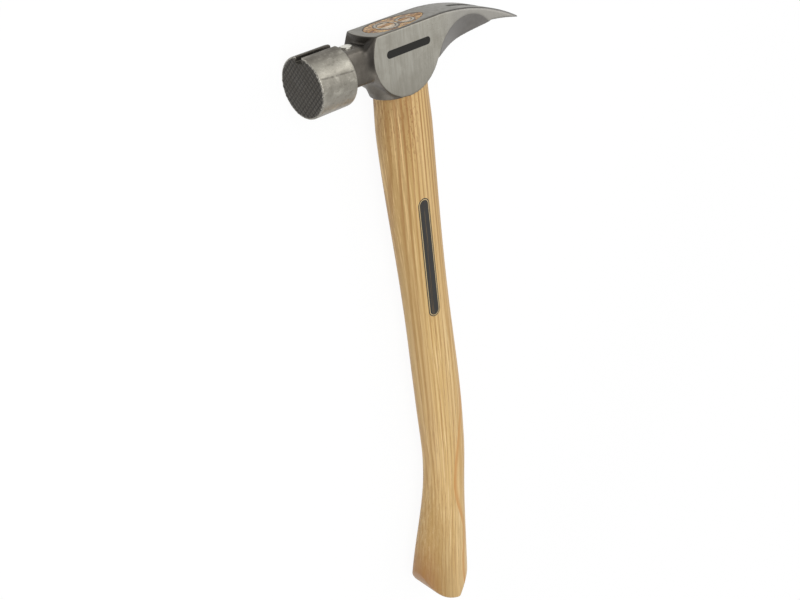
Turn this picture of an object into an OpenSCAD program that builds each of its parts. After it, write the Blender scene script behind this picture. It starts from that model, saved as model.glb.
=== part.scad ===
// Framing hammer with a one-piece cast titanium head and a curved hickory handle.
// The hammer lies on its side: +X runs along the handle towards the top of the head,
// +Y points the way the striking face points, and +Z is square to the upper cheek.

/* [Overall] */
// Length from the top of the head to the heel of the handle
overall_length = 450; // [430:1:480]
// Reach of the striking face in front of the handle line
face_reach = 74; // [70:0.5:78]
// Reach of the claw tips behind the handle line
claw_reach = 92.5; // [90:0.5:96]

/* [Poll] */
// Diameter of the poll
poll_d = 35; // [33:0.5:37]
// Length of the full-width part of the poll
poll_length = 26; // [23:0.5:27]
// Rounding of the poll's back edge
poll_back_r = 1.8; // [0.8:0.2:5]
// Bevel round the striking face
face_bevel = 1; // [0.6:0.1:1.6]
// Distance between the rows of teeth on the striking face
tooth_pitch = 2.4; // [2:0.1:3.2]
// Depth of the milled rows between the teeth
tooth_depth = 0.9; // [0.5:0.05:1]

/* [Nail starter] */
// Width of the groove that holds a nail along the top of the poll
groove_w = 5; // [4:0.25:6]
// Depth of that groove
groove_depth = 3.6; // [3:0.1:4]
// Diameter of the magnet in the neck
magnet_d = 6.4; // [5:0.1:7]
// Height of the magnet
magnet_h = 4; // [3:0.25:6]
// How far the magnet stands out of the neck's flat top
magnet_proud = 1; // [0.4:0.1:1]

/* [Neck] */
// Depth of the neck's flat top below the top of the head
neck_top_drop = 4.6; // [4.2:0.1:6]
// Depth of the neck's underside below the top of the head
neck_bottom_drop = 27.8; // [26:0.2:30]
// Width of the neck at its waist
neck_w = 17.6; // [15:0.2:20]
// Radius of the hollow on each side of the neck
flare_r = 10; // [9:0.25:11]
// Width of the neck's flat top where it meets the anvil wall
neck_flat_w = 12; // [10:0.5:13]
// Rounding of the neck's upper edges
neck_edge_r = 4.4; // [2:0.2:5]
// Angle at which the top of the flare falls away towards the poll
flare_fall = 50; // [40:1:60]
// Reach of the wall that backs the nail's head in front of the handle line
anvil_reach = 31; // [29.5:0.25:31.5]
// Radius of that wall, seen from the top of the head
anvil_r = 25; // [22:0.5:30]

/* [Cheeks] */
// Width across the two flat cheeks
cheek_w = 24.6; // [24:0.2:27]
// Diameter of the round outline of the cheeks
cheek_d = 53; // [51:0.2:54]
// Depth of the centre of that outline below the top of the head
cheek_drop = 13.8; // [13:0.1:14.4]
// Distance of that centre in front of the handle line
cheek_fwd = 4.4; // [3.5:0.1:5.5]
// Width across the collar round the lower end of the eye
collar_w = 24; // [23:0.1:24]
// Reach of the collar's rim in front of the handle line
collar_reach = 22.6; // [21:0.1:23.5]
// How much further forward the collar reaches where the neck leaves it
collar_lean = 3; // [1.5:0.1:3.6]
// Depth of the collar's rim below the top of the head
collar_drop = 39.8; // [38:0.1:40]

/* [Eye] */
// Length of the eye at the top of the head
eye_top_l = 44; // [42:0.25:45]
// Width of the eye at the top of the head
eye_top_w = 19.8; // [18:0.2:21]
// Length of the eye at the collar's rim
eye_rim_l = 38; // [36:0.25:39]
// Width of the eye at the collar's rim
eye_rim_w = 18.6; // [17:0.2:19.4]
// Distance of the middle of the eye in front of the handle line
eye_fwd = 2; // [1.5:0.1:2.5]
// How much blunter the eye is at its front than at its back
eye_egg_share = 0.24; // [0:0.02:0.35]

/* [Claw] */
// Radius of the claw's crowned top
crown_r = 152; // [145:1:170]
// Distance behind the handle line at which the top starts to curve down
crown_start = 19; // [14:0.5:20]
// Depth of the claw's keel below the top of the head, at its root
keel_root_drop = 24.8; // [23.5:0.1:25.5]
// Depth of the keel's far end below the top of the head
keel_end_drop = 15; // [14:0.1:16]
// Distance of the keel's far end behind the handle line
keel_end_back = 67; // [64:0.5:70]
// Radius of the keel's belly
keel_r = 300; // [200:5:400]
// Radius of the hollow underside of the claw's tips
tip_under_r = 170; // [130:1:220]
// Thickness of the claw's tips
claw_tip_t = 0.8; // [0.5:0.1:1.5]
// Bevel along the upper edges at the cheeks
cheek_bevel = 0.4; // [0.2:0.05:0.6]
// Bevel along the upper edges at the claw's tips
claw_bevel = 1.3; // [0.8:0.1:1.6]
// Radius of the scoop ground into each side of the claw, at the cheek
scoop_r = 26.3; // [25:0.1:27]
// Distance of the scoop's centre behind the handle line
scoop_back = 45.2; // [44.5:0.1:46]
// Depth of the scoop's centre below the top of the head
scoop_drop = 32.6; // [32:0.1:33.5]
// Depth of the scoop's cone, from the cheek to its point
scoop_depth = 13; // [12:0.1:15]
// Distance of the nail slot's closed end behind the handle line
slot_back = 43; // [41:0.5:48]
// Width of the nail slot at its closed end
slot_root_w = 2.4; // [1.8:0.1:3]
// Width of the nail slot between the claw's tips
slot_tip_w = 11; // [9:0.25:13]

/* [Handle] */
// Width of the handle, front to back, just below the head
shoulder_w = 39.5; // [38:0.25:41]
// How much narrower the handle is right under the collar
shoulder_tuck = 3; // [1:0.25:5]
// Thickness of the handle where it meets the head
shoulder_t = 24; // [23:0.25:24.2]
// Width of the handle at its slender middle
throat_w = 34; // [32:0.25:37]
// Thickness of the handle at its slender middle
throat_t = 23; // [21:0.25:25]
// Width of the handle in the middle of the grip
grip_w = 35; // [33:0.25:38]
// Thickness of the handle in the middle of the grip
grip_t = 25; // [23:0.25:27]
// Width of the handle at the wrist above the butt
wrist_w = 33.6; // [31:0.25:37]
// Thickness of the handle at the wrist above the butt
wrist_t = 24; // [22:0.25:26]
// Width of the handle at the butt
butt_w = 52; // [48:0.5:55]
// Thickness of the handle at the butt
butt_t = 28; // [25:0.25:30]
// How far the grip bows backwards from the line of the eye
grip_bow = 8.5; // [5:0.5:12]
// How far the butt sweeps forwards from the back of the bow
butt_sweep = 17; // [12:0.5:22]
// Height of the butt face, from its toe to its heel
butt_slant_h = 39.5; // [32:0.5:45]
// Radius of the butt face in side view
butt_r = 56; // [50:1:80]
// Height of the bevel at the heel
heel_bevel_h = 18.5; // [14:0.5:24]
// Length of the bevel at the heel, front to back
heel_bevel_l = 18; // [13:0.5:22]

/* [Wedges] */
// Thickness of the wooden wedge at the top of the head
kerf_t = 3; // [2:0.25:4]
// Depth of the wooden wedge
kerf_depth = 29; // [24:1:34]
// Outer diameter of the front ring wedge
front_ring_d = 14.4; // [13:0.2:15]
// Outer diameter of the rear ring wedge
rear_ring_d = 11; // [10:0.2:12]
// Wall of the ring wedges at their top
ring_wall = 1.3; // [1:0.1:1.6]
// Depth to which the ring wedges are driven
ring_depth = 11; // [9:0.5:13]

/* [Fits] */
// Gap between the handle and the eye
eye_fit = 0.1; // [0.05:0.05:0.2]
// Gap between the handle's shoulder and the head
shoulder_fit = 0.1; // [0.05:0.05:0.2]
// Gap round each wedge
wedge_fit = 0.05; // [0.03:0.01:0.1]
// Gap round the magnet
magnet_fit = 0.05; // [0.03:0.01:0.1]

/* [Hidden] */
$fn = 72;
// Overrun of a cut past the surface that it opens
over = 1;

// Place of the hammer's own axes in the frame of the whole part
top_x = overall_length / 2;
line_y = (claw_reach - face_reach) / 2;
axis_z = poll_d / 2;

// Poll and neck
poll_r = poll_d / 2;
poll_back = face_reach - poll_length;
tooth_land_share = 0.12;
second_cut_share = 0.04;
neck_h = neck_bottom_drop - neck_top_drop;
neck_round_share = 0.56;
neck_round_r = neck_h * neck_round_share;
neck_round_drop = neck_bottom_drop - neck_round_r;
anvil_y = anvil_reach - anvil_r;
anvil_corner_y = anvil_y + sqrt(anvil_r * anvil_r - cheek_w * cheek_w / 4);
flare_overlap_share = 0.08;
flare_step_share = 0.004;
magnet_y = (poll_back + anvil_reach) / 2;

// Cheeks and collar
cheek_r = cheek_d / 2;
collar_r_share = 0.508;
collar_r = collar_w * collar_r_share;
collar_back_share = 0.5;
collar_steps = 3;

// Claw
crown_rise_share = 0.001;
crown_x = crown_r * (crown_rise_share - 1);
tip_run = claw_reach - crown_start;
tip_drop = crown_r * (1 - crown_rise_share) - sqrt(crown_r * crown_r - tip_run * tip_run);
claw_root_share = 0.8;
claw_root_y = cheek_fwd - cheek_r * claw_root_share;
keel_root = [-keel_root_drop, cheek_fwd - cheek_r];
keel_end = [-keel_end_drop, -keel_end_back];
tip_under = [-tip_drop - claw_tip_t, -claw_reach];
bevel_growth = (claw_bevel - cheek_bevel) * crown_r / tip_run;
scoop_slope = scoop_r / scoop_depth;

// Handle
section_power = 2.4;
section_points = 32;
handle_rings = 40;
grip_top_share = 0.05;
tuck_shares = [0.08, 0.15];
throat_shares = [0.12, 0.4];
grip_shares = [0.42, 0.58];
wrist_shares = [0.6, 0.72];
butt_shares = [0.74, 0.97];
bow_shares = [0.1, 0.7];
sweep_shares = [0.68, 1];
kerf_edge_share = 0.3;
ring_edge_share = 0.2;
front_ring_shares = [0.16, 0.035];
rear_ring_shares = [-0.16, 0.08];

module place() {
    translate([top_x, line_y, axis_z]) children();
}

// A flat outline in side view, given a thickness across the hammer
module across(width) {
    translate([0, 0, -width / 2]) linear_extrude(width) children();
}

// An outline drawn in [z, y] is pushed down the handle from the level x
module down(x, length) {
    translate([x, 0, 0]) rotate([0, -90, 0]) linear_extrude(length) children();
}

// An outline drawn in [z, x] is pushed forwards from the place y
module forwards(y, length) {
    translate([0, y, 0]) multmatrix([[0, 1, 0, 0], [0, 0, 1, 0], [1, 0, 0, 0], [0, 0, 0, 1]])
        linear_extrude(length) children();
}

// A closed skin over a list of rings that have equally many points
module skin(rings) {
    count = len(rings);
    sides = len(rings[0]);
    walls = [
        for (i = [0:count - 2]) for (j = [0:sides - 1]) let (k = (j + 1) % sides)
            each [[i * sides + j, i * sides + k, (i + 1) * sides + k],
                  [i * sides + j, (i + 1) * sides + k, (i + 1) * sides + j]]
    ];
    first = [for (j = [sides - 1:-1:0]) j];
    last = [for (j = [0:sides - 1]) (count - 1) * sides + j];
    polyhedron([for (ring = rings) each ring], concat([first], walls, [last]), convexity = 6);
}

// Egg-shaped ring of the eye at a depth below the top, drawn in by a gap
function eye_ring(depth, gap) =
    let (share = depth / collar_drop,
         half_l = (eye_top_l + (eye_rim_l - eye_top_l) * share) / 2 - gap,
         half_w = (eye_top_w + (eye_rim_w - eye_top_w) * share) / 2 - gap)
    [for (j = [0:section_points - 1]) let (a = 360 * j / section_points)
        [-depth, eye_fwd + half_l * cos(a), half_w * sin(a) * (1 + eye_egg_share * cos(a))]];

module eye(gap, top, bottom) {
    skin([eye_ring(top, gap), eye_ring(bottom, gap)]);
}

module poll() {
    rotate([-90, 0, 0]) rotate_extrude()
        difference() {
            translate([0, poll_back]) polygon([
                [0, 0], [poll_r, 0], [poll_r, poll_length - face_bevel],
                [poll_r - face_bevel, poll_length], [0, poll_length]
            ]);
            translate([poll_r - poll_back_r, poll_back]) difference() {
                translate([0, -over]) square([poll_back_r + over, poll_back_r + over]);
                translate([0, poll_back_r]) circle(poll_back_r);
            }
        }
}

// Crossing rows of V cuts leave a blunt pyramid tooth between each four; the second set of
// rows is milled a little shallower than the first
module face_teeth() {
    rows = floor(poll_d / tooth_pitch);
    half_v = tooth_pitch * (1 - tooth_land_share) / 2;
    mouth = half_v * (tooth_depth + over) / tooth_depth;
    for (set = [0, 1]) translate([-poll_r, face_reach + tooth_depth * second_cut_share * set, 0])
        rotate([0, 90 * set - 45, 0])
            for (i = [0:rows]) translate([0, 0, (i - rows / 2) * tooth_pitch])
                rotate([0, 90, 0]) linear_extrude(poll_d + 2 * over, center = true) polygon([
                    [0, -tooth_depth], [mouth, over], [-mouth, over]
                ]);
}

module nail_groove() {
    translate([-groove_depth, poll_back - over, -groove_w / 2])
        cube([groove_depth + over, poll_length + 2 * over, groove_w]);
}

// Section through the neck or its flare: a round bottom of radius r, straight sides above
module neck_section(r, width) {
    intersection() {
        union() {
            translate([0, -neck_round_drop]) circle(r);
            translate([-width / 2, -neck_round_drop]) square([width, neck_round_drop]);
        }
        translate([-width / 2, -neck_bottom_drop - over]) square([width, neck_bottom_drop + over]);
    }
}

// Width and height limits of the neck's slender part, with rounded upper edges
module waist_section() {
    edge_z = neck_w / 2 - neck_edge_r;
    translate([-neck_w / 2, -neck_bottom_drop - over])
        square([neck_w, neck_h + over - neck_edge_r]);
    translate([-edge_z, -neck_bottom_drop - over]) square([2 * edge_z, neck_h + over]);
    for (side = [-1, 1])
        translate([side * edge_z, -neck_top_drop - neck_edge_r]) circle(neck_edge_r);
}

// Space in front of the anvil wall: over the neck's flat top its sides climb to the corners
// of the wall, and further out it falls away towards the poll
module nail_space() {
    difference() {
        union() {
            forwards(anvil_y + anvil_r / 2, poll_back - anvil_y) polygon([
                [-neck_flat_w / 2, -neck_top_drop], [neck_flat_w / 2, -neck_top_drop],
                [cheek_w / 2 + over, over], [-cheek_w / 2 - over, over]
            ]);
            translate([0, anvil_corner_y, -cheek_w]) rotate([0, 0, flare_fall])
                cube([neck_h, neck_h, 2 * cheek_w]);
        }
        translate([over, anvil_y, 0]) rotate([0, -90, 0]) cylinder(r = anvil_r, h = neck_bottom_drop);
    }
}

// Hollow flare from the neck to the rim of the cheeks
module neck_flare() {
    rim_z = neck_w / 2 + flare_r * (1 - flare_overlap_share);
    rim_r = cheek_r + sqrt(flare_r * flare_r - (rim_z - cheek_w / 2) * (rim_z - cheek_w / 2));
    flare_w = cheek_w * (1 - flare_step_share);
    difference() {
        intersection() {
            forwards(cheek_fwd, poll_back - cheek_fwd)
                neck_section(neck_round_r * (1 - flare_step_share), cheek_w + 2 * over);
            translate([-cheek_drop, cheek_fwd, 0]) rotate_extrude() difference() {
                translate([0, -flare_w / 2]) square([rim_r, flare_w]);
                for (side = [-1, 1]) translate([rim_r, side * rim_z]) circle(flare_r);
            }
        }
        nail_space();
    }
}

module neck() {
    forwards(cheek_fwd, poll_back - cheek_fwd + over) intersection() {
        neck_section(neck_round_r, neck_w + 2 * over);
        waist_section();
    }
}

// Centre of the circle of radius r through a and b, on the left on the way from a to b
function arc_centre(a, b, r) =
    let (chord = norm(b - a), dir = (b - a) / chord)
    (a + b) / 2 + sqrt(r * r - chord * chord / 4) * [-dir[1], dir[0]];

// Side view of the collar, grown by a gap: its back follows the round of the cheeks
module collar_outline(gap) {
    intersection() {
        union() {
            translate([-cheek_drop, cheek_fwd]) circle(cheek_r + gap);
            translate([-collar_drop - gap, cheek_fwd])
                square([collar_drop - cheek_drop, collar_reach + collar_lean - cheek_fwd + gap]);
        }
        translate([-2 * cheek_r, -cheek_r]) square([2 * cheek_r, 3 * cheek_r]);
    }
}

// Round front of the collar: it leaves the neck further forward and curves in towards the rim
module collar_front() {
    run = collar_drop - neck_bottom_drop;
    rim_y = collar_reach - collar_r;
    hull() for (i = [0:collar_steps]) let (share = i / collar_steps)
        translate([-neck_bottom_drop - run * share, rim_y + collar_lean * (1 - share * share), 0])
            rotate([0, 90, 0]) cylinder(r = collar_r, h = over, $fn = section_points);
}

module collar() {
    back_y = -cheek_r * collar_back_share;
    intersection() {
        across(collar_w) collar_outline(-cheek_r * flare_step_share);
        union() {
            down(0, collar_drop + over) translate([-collar_w / 2, back_y])
                square([collar_w, collar_reach - collar_r - back_y]);
            collar_front();
        }
    }
}

module cheek_outline() {
    intersection() {
        translate([-cheek_drop, cheek_fwd]) circle(cheek_r);
        translate([-2 * cheek_r, cheek_fwd - cheek_r]) square([2 * cheek_r, 2 * cheek_r]);
    }
}

module claw_outline() {
    difference() {
        intersection() {
            translate([crown_x, -crown_start]) circle(crown_r);
            translate([-cheek_r, -claw_reach]) square([cheek_r, claw_reach + claw_root_y]);
        }
        difference() {
            translate([-2 * cheek_r, -keel_end_back]) square([2 * cheek_r, 2 * cheek_r]);
            translate(arc_centre(keel_root, keel_end, keel_r)) circle(keel_r);
        }
        intersection() {
            translate([-2 * cheek_r, -claw_reach - over])
                square([2 * cheek_r, claw_reach - keel_end_back + over]);
            translate(arc_centre(tip_under, keel_end, tip_under_r)) circle(tip_under_r);
        }
    }
}

// Cone ground into one side of the claw, with its point near the middle
module claw_scoop() {
    translate([-scoop_drop, -scoop_back, cheek_w / 2 - scoop_depth])
        cylinder(r1 = 0, r2 = scoop_r + over * scoop_slope, h = scoop_depth + over);
}

// Waste outside the bevel of one straight upper edge of the cheeks
module cheek_edge() {
    forwards(-crown_start, crown_start + anvil_reach) polygon([
        [cheek_w / 2 - cheek_bevel - over, over], [cheek_w / 2 + over, over],
        [cheek_w / 2 + over, -cheek_bevel - over]
    ]);
}

// Waste outside the bevel of one upper edge of the claw, which grows from the cheek to the tip
module claw_edge() {
    translate([crown_x, -crown_start + bevel_growth, cheek_w / 2]) rotate_extrude()
        polygon([
            [crown_r - cheek_bevel - over, over], [crown_r + cheek_bevel + over, over],
            [crown_r + cheek_bevel + over, -2 * cheek_bevel - over]
        ]);
}

module nail_slot() {
    run = claw_reach - slot_back;
    down(over, poll_d) union() {
        translate([0, -slot_back]) circle(slot_root_w / 2);
        polygon([
            [-slot_root_w / 2, -slot_back], [slot_root_w / 2, -slot_back],
            [slot_tip_w / 2, -claw_reach], [slot_tip_w / 2, -claw_reach - over],
            [-slot_tip_w / 2, -claw_reach - over], [-slot_tip_w / 2, -claw_reach]
        ]);
    }
}

module claw() {
    difference() {
        across(cheek_w) claw_outline();
        for (side = [0, 1]) mirror([0, 0, side]) {
            claw_scoop();
            claw_edge();
        }
        nail_slot();
    }
}

module magnet_seat() {
    translate([-neck_top_drop + magnet_proud - magnet_h - magnet_fit, magnet_y, 0]) rotate([0, 90, 0])
        cylinder(d = magnet_d + 2 * magnet_fit, h = magnet_h + over);
}

module head() {
    color("#a5a39b") place() difference() {
        union() {
            translate([-poll_r, 0, 0]) poll();
            neck();
            neck_flare();
            collar();
            across(cheek_w) cheek_outline();
            claw();
        }
        for (side = [0, 1]) mirror([0, 0, side]) cheek_edge();
        face_teeth();
        nail_groove();
        magnet_seat();
        eye(0, -over, collar_drop + over);
    }
}

// Smooth step from 0 to 1 between two places along the handle
function ramp(s, span) =
    let (t = min(max((s - span[0]) / (span[1] - span[0]), 0), 1)) t * t * (3 - 2 * t);

// Size of the handle at a share of its length, from its five named sizes
function along(s, shoulder, throat, grip, wrist, butt) =
    shoulder + (throat - shoulder) * ramp(s, throat_shares) + (grip - throat) * ramp(s, grip_shares)
    + (wrist - grip) * ramp(s, wrist_shares) + (butt - wrist) * ramp(s, butt_shares);

// Distance of the handle's middle in front of the handle line
function handle_y(s) = eye_fwd - grip_bow * ramp(s, bow_shares) + butt_sweep * ramp(s, sweep_shares);

function squircle(v) = sign(v) * pow(abs(v), 2 / section_power);

function handle_ring(s) =
    let (tuck = shoulder_tuck * (1 - ramp(s, tuck_shares)),
         half_w = (along(s, shoulder_w, throat_w, grip_w, wrist_w, butt_w) - tuck) / 2,
         half_t = along(s, shoulder_t, throat_t, grip_t, wrist_t, butt_t) / 2)
    [for (j = [0:section_points - 1]) let (a = 360 * j / section_points)
        [-s * overall_length, handle_y(s) + half_w * squircle(cos(a)), half_t * squircle(sin(a))]];

module handle_sweep() {
    skin([
        for (i = [0:handle_rings]) handle_ring(grip_top_share + (1 - grip_top_share) * i / handle_rings)
    ]);
}

// Waste below the rounded butt face and the bevel at the heel, in side view
module butt_waste() {
    toe_share = 1 - butt_slant_h / overall_length;
    toe_y = handle_y(toe_share) + along(toe_share, shoulder_w, throat_w, grip_w, wrist_w, butt_w) / 2;
    back_y = handle_y(1) - butt_w / 2;
    toe = [-overall_length + butt_slant_h, toe_y];
    heel = [-overall_length, back_y + heel_bevel_l];
    difference() {
        translate([-overall_length - over, heel[1]]) square([butt_slant_h + over, butt_w]);
        translate(arc_centre(toe, heel, butt_r)) circle(butt_r);
    }
    polygon([
        heel, [-overall_length + heel_bevel_h, back_y], [-overall_length + heel_bevel_h, back_y - butt_w],
        [-overall_length - over, back_y - butt_w], [-overall_length - over, heel[1]]
    ]);
}

// Wooden wedge or the saw cut that holds it, grown by a gap
module kerf(gap) {
    forwards(eye_fwd - eye_top_l, 2 * eye_top_l) polygon([
        [-kerf_t / 2 - gap, gap * over], [kerf_t / 2 + gap, gap * over],
        [kerf_t * kerf_edge_share / 2 + gap, -kerf_depth - gap],
        [-kerf_t * kerf_edge_share / 2 - gap, -kerf_depth - gap]
    ]);
}

// Ring wedge with a straight outside and a tapered bore, grown by a gap
module ring(d, gap) {
    r = d / 2;
    edge = ring_wall * ring_edge_share;
    rotate([0, 90, 0]) rotate_extrude() polygon([
        [r - ring_wall - gap, gap * over], [r + gap, gap * over],
        [r + gap, -ring_depth - gap], [r - edge - gap, -ring_depth - gap]
    ]);
}

module at_front_ring() {
    translate([0, eye_fwd + eye_top_l * front_ring_shares[0], eye_top_w * front_ring_shares[1]]) children();
}

module at_rear_ring() {
    translate([0, eye_fwd + eye_top_l * rear_ring_shares[0], eye_top_w * rear_ring_shares[1]]) children();
}

module ring_grooves() {
    at_front_ring() ring(front_ring_d, wedge_fit);
    at_rear_ring() ring(rear_ring_d, wedge_fit);
}

module handle() {
    color("#d0ab76") place() difference() {
        union() {
            eye(eye_fit, 0, collar_drop + over);
            difference() {
                handle_sweep();
                across(2 * cheek_w) collar_outline(shoulder_fit);
                across(2 * butt_w) butt_waste();
            }
        }
        kerf(wedge_fit);
        ring_grooves();
    }
}

module kerf_wedge() {
    color("#e4cda0") place() difference() {
        intersection() {
            eye(eye_fit, 0, kerf_depth);
            kerf(0);
        }
        ring_grooves();
    }
}

module front_ring_wedge() {
    color("#8f8d88") place() at_front_ring() ring(front_ring_d, 0);
}

module rear_ring_wedge() {
    color("#8f8d88") place() at_rear_ring() ring(rear_ring_d, 0);
}

module nail_magnet() {
    color("#d8d8d4") place()
        translate([-neck_top_drop + magnet_proud - magnet_h, magnet_y, 0]) rotate([0, 90, 0])
            cylinder(d = magnet_d, h = magnet_h);
}

head();
handle();
kerf_wedge();
front_ring_wedge();
rear_ring_wedge();
nail_magnet();
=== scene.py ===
# %% [markdown]
# A framing hammer with a cast metal head and a hickory handle. The packed CAD model comes in first,
# as a fixed frame: every piece made below is placed from it, in metres, and never moves it.

# %% Load the packed hammer
import math

import bmesh
import bpy
from mathutils import Matrix, Vector


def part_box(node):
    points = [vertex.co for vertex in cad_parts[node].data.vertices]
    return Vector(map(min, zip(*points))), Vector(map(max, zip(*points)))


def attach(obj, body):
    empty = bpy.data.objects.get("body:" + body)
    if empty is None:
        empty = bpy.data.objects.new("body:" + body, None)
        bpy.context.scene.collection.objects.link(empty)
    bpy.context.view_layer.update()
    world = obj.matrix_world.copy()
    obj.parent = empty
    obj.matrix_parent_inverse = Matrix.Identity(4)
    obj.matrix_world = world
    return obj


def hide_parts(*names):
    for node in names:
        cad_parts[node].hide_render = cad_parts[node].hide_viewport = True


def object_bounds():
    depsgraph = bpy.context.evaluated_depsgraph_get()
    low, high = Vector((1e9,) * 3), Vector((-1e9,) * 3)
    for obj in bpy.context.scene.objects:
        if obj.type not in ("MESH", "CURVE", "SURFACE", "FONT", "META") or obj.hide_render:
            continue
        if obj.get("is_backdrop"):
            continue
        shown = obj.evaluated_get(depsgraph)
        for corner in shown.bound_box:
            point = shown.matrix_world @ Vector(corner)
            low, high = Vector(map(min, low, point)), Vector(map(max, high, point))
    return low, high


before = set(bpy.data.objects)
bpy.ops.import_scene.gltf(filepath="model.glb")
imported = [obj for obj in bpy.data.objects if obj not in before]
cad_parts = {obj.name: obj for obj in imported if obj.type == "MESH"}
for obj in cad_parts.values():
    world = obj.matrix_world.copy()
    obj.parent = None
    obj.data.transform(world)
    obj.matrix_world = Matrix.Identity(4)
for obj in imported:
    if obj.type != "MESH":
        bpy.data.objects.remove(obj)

cad_low, cad_high = (Vector(corner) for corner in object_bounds())
scene = bpy.context.scene
print("hammer box in mm:", [round(side * 1000, 1) for side in cad_high - cad_low])

# %% [markdown]
# A maker measures a hammer from the top of its head, so the shapes below use millimetres from
# there: x runs up the handle line, y towards the striking face and z towards the near cheek.
# One matrix takes a finished mesh from those workshop millimetres to the metres of the frame.

# %% Workshop millimetres
mm = 0.001
head_low, head_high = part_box("head")
magnet_low, magnet_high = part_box("nail_magnet")

claw_reach = 92.5
line_y = head_low.y + claw_reach * mm
axis_z = (magnet_low.z + magnet_high.z) / 2
zero_point = Vector((head_high.x, line_y, axis_z))
to_frame = Matrix.Translation(zero_point) @ Matrix.Scale(mm, 4)
overall_length = (cad_high.x - cad_low.x) / mm
print("top of the head, handle line and mid plane:", [round(v, 5) for v in zero_point])

# %% [markdown]
# The camera stands above the striking face and looks down past the head to the butt, as the
# photographer did. It is rolled so that the handle hangs down the picture, with no shift.

# %% Camera
camera_turn = math.radians(41.42)
camera_rise = math.radians(30.39)
camera_roll = math.radians(6.15)
camera_distance = 658.2
camera_aim = (-20.03, -175.58)
focal_pixels = 1019.66
picture_width_pixels = 800
sensor_width = 36


def hammer_axes(claw, top, near):
    """A direction given as towards the claw, up the handle and out of the near cheek."""
    return Vector((top, -claw, near))


backward = hammer_axes(
    -math.sin(camera_turn) * math.cos(camera_rise),
    math.sin(camera_rise),
    math.cos(camera_turn) * math.cos(camera_rise),
)
level_right = hammer_axes(math.cos(camera_turn), 0, math.sin(camera_turn))
level_up = hammer_axes(0, 1, 0)
level_up = (level_up - level_up.dot(backward) * backward).normalized()
right = math.cos(camera_roll) * level_right - math.sin(camera_roll) * level_up
up = math.sin(camera_roll) * level_right + math.cos(camera_roll) * level_up
aim_point = hammer_axes(camera_aim[0], camera_aim[1], 0)
eye_point = zero_point + (aim_point + camera_distance * backward) * mm

camera_data = bpy.data.cameras.new("studio_camera")
camera_data.sensor_width = sensor_width
camera_data.lens = focal_pixels * sensor_width / picture_width_pixels
camera_data.clip_start = 0.01
camera = bpy.data.objects.new("studio_camera", camera_data)
scene.collection.objects.link(camera)
turned = Matrix((right, up, backward)).transposed().to_4x4()
camera.matrix_world = Matrix.Translation(eye_point) @ turned
scene.camera = camera
print("lens in mm:", round(camera_data.lens, 1), "camera at", [round(v, 3) for v in eye_point])

# %% [markdown]
# Light and finishes in Blender are networks of nodes: each node has inputs that take a value or
# a link from another node's output. Built line by line in a script they are long and dull to
# read, so three helpers make a node, feed its inputs by name, and do a step of arithmetic.

# %% Node helpers


def feed(tree, socket, value):
    """Give an input a value, or a link where the value is another node's output."""
    if isinstance(value, bpy.types.NodeSocket):
        tree.links.new(value, socket)
    else:
        socket.default_value = value


def new_node(tree, kind, **inputs):
    """A node of one kind, with its inputs fed by name; an underscore stands for a space."""
    node = tree.nodes.new("ShaderNode" + kind)
    for name, value in inputs.items():
        feed(tree, node.inputs[name.replace("_", " ")], value)
    return node


def arithmetic(tree, operation, *values):
    """One step of arithmetic; each value is a number or another node's output."""
    node = new_node(tree, "Math")
    node.operation = operation
    for socket, value in zip(node.inputs, values):
        feed(tree, socket, value)
    return node.outputs["Value"]


print("node helpers:", [helper.__name__ for helper in (feed, new_node, arithmetic)])

# %% [markdown]
# A tool on a white sweep under soft boxes has almost no hard shadow. The world is a white room
# whose light comes mostly from above the head and fades towards the butt, which keeps the
# underside of the head dark. The camera sees that room as plain white, and so, a little
# dimmer on the far side, does steel that mirrors it.

# %% Room
bright_side = Vector((0.75, -0.15, 0.65)).normalized()
fill_range = (0.20, 0.74)
mirror_range = (0.30, 1.0)


def room_level(tree, facing, low, high):
    """Strength of the room from its dim side to its bright side."""
    level = new_node(tree, "MapRange", Value=facing, From_Min=-1.0, To_Min=low, To_Max=high)
    return level.outputs["Result"]


def white_room():
    """World light that is brighter on one side, and white to the camera."""
    world = bpy.data.worlds.new("white_room")
    world.use_nodes = True
    tree = world.node_tree
    tree.nodes.clear()
    rays = new_node(tree, "LightPath")
    way = new_node(tree, "TexCoord")
    facing = new_node(tree, "VectorMath")
    facing.operation = "DOT_PRODUCT"
    feed(tree, facing.inputs[0], way.outputs["Generated"])
    feed(tree, facing.inputs[1], bright_side)
    seen = room_level(tree, facing.outputs["Value"], *fill_range)
    mirror = room_level(tree, facing.outputs["Value"], *mirror_range)
    for ray, level in (("Is Glossy Ray", mirror), ("Is Transmission Ray", 1.0), ("Is Camera Ray", 1.0)):
        pick = new_node(tree, "Mix", Factor=rays.outputs[ray], A=seen, B=level)
        seen = pick.outputs["Result"]
    shade = new_node(tree, "Background", Color=(1, 1, 1, 1), Strength=seen)
    new_node(tree, "OutputWorld", Surface=shade.outputs["Background"])
    return world


scene.world = white_room()
print("room light from", fill_range[0], "to", fill_range[1])

# %% [markdown]
# Five soft boxes model the shape. The key box hangs over the near cheek, a smaller one behind
# the claw draws the bright band along the round poll, and three weak ones lift the striking
# face, the claw and the underside. Each is turned to face the middle of the hammer.

# %% Lamps


def soft_box(name, direction, distance, size, watts):
    """A square area lamp that faces the middle of the hammer."""
    data = bpy.data.lights.new(name, "AREA")
    data.shape = "SQUARE"
    data.size = size
    data.energy = watts
    lamp = bpy.data.objects.new(name, data)
    scene.collection.objects.link(lamp)
    middle = (cad_low + cad_high) / 2
    way = Vector(direction).normalized()
    turn = way.to_track_quat("Z", "Y").to_matrix().to_4x4()
    lamp.matrix_world = Matrix.Translation(middle + way * distance) @ turn


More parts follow.
